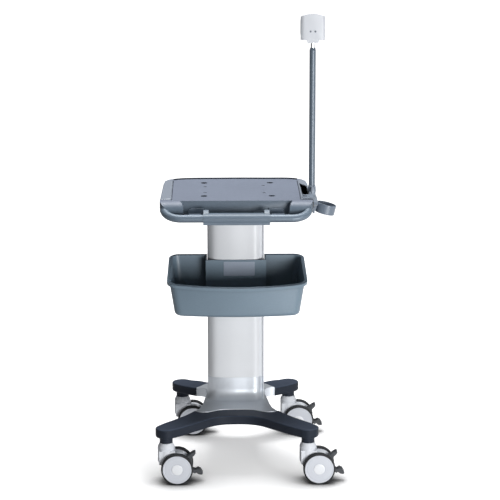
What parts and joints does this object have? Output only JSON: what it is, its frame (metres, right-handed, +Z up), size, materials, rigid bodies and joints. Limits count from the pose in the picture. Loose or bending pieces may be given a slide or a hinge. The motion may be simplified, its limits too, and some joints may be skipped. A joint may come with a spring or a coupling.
{
  "type": "ultrasound trolley",
  "caption": "Wheeled stand with a deck for a portable scanner, push handle, open basket, side pole with a tablet plate, probe ring and braked twin-wheel casters.",
  "frame": {"origin": "on the floor, under the middle of the whole trolley's outline seen from above", "axes": "+Z up, the user stands at -Y and pushes towards +Y, +X is the user's right, where the pole and the probe ring stand"},
  "size_m": [0.5899, 0.5996, 1.438],
  "materials": {
    "cast_aluminium": "satin die casting, lightly clear-coated",
    "dark_leg_coat": "dark grey satin powder coat",
    "column_coat": "light grey satin coat",
    "zinc_screw": "zinc plated",
    "dark_screw": "blackened",
    "steel": "turned",
    "plate_steel": "e-coated sheet",
    "caster_grey": "fine grain",
    "caster_cap": "fine grain",
    "tyre_grey": "non-marking grey tread",
    "pedal_dark": "ribbed",
    "basket_grey": "fine spark-eroded grain",
    "label_grey": "smooth, blank",
    "tray_grey": "fine grain",
    "tray_dark": "fine grain",
    "rail_light": "satin",
    "black_plastic": "satin",
    "handle_metal": "satin coat over aluminium tube",
    "grip_grey": "soft-touch",
    "stay_dark": "fine grain",
    "bracket_grey": "fine grain",
    "pole_metal": "satin coat",
    "stem_steel": "brushed",
    "block_dark": "satin",
    "plate_white": "off-white satin powder coat",
    "ring_grey": "satin"
  },
  "bodies": {
    "trolley": {"base_casting": "cast_aluminium", "basket": "basket_grey", "basket_label": "label_grey", "basket_nut_plate": "plate_steel", "basket_screws": "zinc_screw", "bracket_screw": "dark_screw", "caster_stems": "steel", "column": "column_coat", "column_bottom_screws": "zinc_screw", "column_top_screws": "zinc_screw", "front_leg": "dark_leg_coat", "handle_bar": "handle_metal", "handle_grip": "grip_grey", "handle_stays": "stay_dark", "leg_bolts": "zinc_screw", "pole_tube": "pole_metal", "rear_leg": "dark_leg_coat", "ring_holder": "ring_grey", "side_bracket": "bracket_grey", "side_slot_liner": "black_plastic", "support_plate": "plate_steel", "tray_bottom": "tray_dark", "tray_bottom_screws": "zinc_screw", "tray_left_rail": "rail_light", "tray_rear_lip": "black_plastic", "tray_right_rail": "rail_light", "tray_screws": "zinc_screw", "tray_top": "tray_grey"},
    "pole_head": {"pole_stem": "stem_steel", "head_block": "block_dark", "head_plate": "plate_white", "head_screws": "zinc_screw"},
    "front_left_swivel": {"front_left_housing": "caster_grey", "front_left_axle": "steel"},
    "front_left_near_wheel": {"front_left_near_hub": "caster_cap", "front_left_near_tyre": "tyre_grey"},
    "front_left_far_wheel": {"front_left_far_hub": "caster_cap", "front_left_far_tyre": "tyre_grey"},
    "front_left_brake": {"front_left_pedal": "pedal_dark"},
    "front_right_swivel": {"front_right_housing": "caster_grey", "front_right_axle": "steel"},
    "front_right_near_wheel": {"front_right_near_hub": "caster_cap", "front_right_near_tyre": "tyre_grey"},
    "front_right_far_wheel": {"front_right_far_hub": "caster_cap", "front_right_far_tyre": "tyre_grey"},
    "front_right_brake": {"front_right_pedal": "pedal_dark"},
    "rear_left_swivel": {"rear_left_housing": "caster_grey", "rear_left_axle": "steel"},
    "rear_left_near_wheel": {"rear_left_near_hub": "caster_cap", "rear_left_near_tyre": "tyre_grey"},
    "rear_left_far_wheel": {"rear_left_far_hub": "caster_cap", "rear_left_far_tyre": "tyre_grey"},
    "rear_left_brake": {"rear_left_pedal": "pedal_dark"},
    "rear_right_swivel": {"rear_right_housing": "caster_grey", "rear_right_axle": "steel"},
    "rear_right_near_wheel": {"rear_right_near_hub": "caster_cap", "rear_right_near_tyre": "tyre_grey"},
    "rear_right_far_wheel": {"rear_right_far_hub": "caster_cap", "rear_right_far_tyre": "tyre_grey"},
    "rear_right_brake": {"rear_right_pedal": "pedal_dark"}
  },
  "joints": [
    {"name": "front_left_swivel_turn", "type": "hinge", "parent": "trolley", "child": "front_left_swivel", "pos_m": [-0.2619, -0.2525, 0.1], "axis": [0, 0, 1], "continuous": true},
    {"name": "front_left_near_roll", "type": "hinge", "parent": "front_left_swivel", "child": "front_left_near_wheel", "pos_m": [-0.2279, -0.2525, 0.05], "axis": [0, 1, 0], "continuous": true},
    {"name": "front_left_far_roll", "type": "hinge", "parent": "front_left_swivel", "child": "front_left_far_wheel", "pos_m": [-0.2279, -0.2525, 0.05], "axis": [0, 1, 0], "continuous": true},
    {"name": "front_left_brake_press", "type": "hinge", "parent": "front_left_swivel", "child": "front_left_brake", "pos_m": [-0.1909, -0.2525, 0.058], "axis": [0, 1, 0], "range_deg": [0, 14]},
    {"name": "front_right_swivel_turn", "type": "hinge", "parent": "trolley", "child": "front_right_swivel", "pos_m": [0.1811, -0.2525, 0.1], "axis": [0, 0, 1], "continuous": true},
    {"name": "front_right_near_roll", "type": "hinge", "parent": "front_right_swivel", "child": "front_right_near_wheel", "pos_m": [0.2151, -0.2525, 0.05], "axis": [0, 1, 0], "continuous": true},
    {"name": "front_right_far_roll", "type": "hinge", "parent": "front_right_swivel", "child": "front_right_far_wheel", "pos_m": [0.2151, -0.2525, 0.05], "axis": [0, 1, 0], "continuous": true},
    {"name": "front_right_brake_press", "type": "hinge", "parent": "front_right_swivel", "child": "front_right_brake", "pos_m": [0.2521, -0.2525, 0.058], "axis": [0, 1, 0], "range_deg": [0, 14]},
    {"name": "rear_left_swivel_turn", "type": "hinge", "parent": "trolley", "child": "rear_left_swivel", "pos_m": [-0.2174, 0.2525, 0.1], "axis": [0, 0, 1], "continuous": true},
    {"name": "rear_left_near_roll", "type": "hinge", "parent": "rear_left_swivel", "child": "rear_left_near_wheel", "pos_m": [-0.1834, 0.2525, 0.05], "axis": [0, 1, 0], "continuous": true},
    {"name": "rear_left_far_roll", "type": "hinge", "parent": "rear_left_swivel", "child": "rear_left_far_wheel", "pos_m": [-0.1834, 0.2525, 0.05], "axis": [0, 1, 0], "continuous": true},
    {"name": "rear_left_brake_press", "type": "hinge", "parent": "rear_left_swivel", "child": "rear_left_brake", "pos_m": [-0.1464, 0.2525, 0.058], "axis": [0, 1, 0], "range_deg": [0, 14]},
    {"name": "rear_right_swivel_turn", "type": "hinge", "parent": "trolley", "child": "rear_right_swivel", "pos_m": [0.1366, 0.2525, 0.1], "axis": [0, 0, 1], "continuous": true},
    {"name": "rear_right_near_roll", "type": "hinge", "parent": "rear_right_swivel", "child": "rear_right_near_wheel", "pos_m": [0.1706, 0.2525, 0.05], "axis": [0, 1, 0], "continuous": true},
    {"name": "rear_right_far_roll", "type": "hinge", "parent": "rear_right_swivel", "child": "rear_right_far_wheel", "pos_m": [0.1706, 0.2525, 0.05], "axis": [0, 1, 0], "continuous": true},
    {"name": "rear_right_brake_press", "type": "hinge", "parent": "rear_right_swivel", "child": "rear_right_brake", "pos_m": [0.2076, 0.2525, 0.058], "axis": [0, 1, 0], "range_deg": [0, 14]},
    {"name": "pole_head_turn", "type": "hinge", "parent": "trolley", "child": "pole_head", "pos_m": [0.1991, -0.0125, 1.331], "axis": [0, 0, 1], "continuous": true}
  ]
}
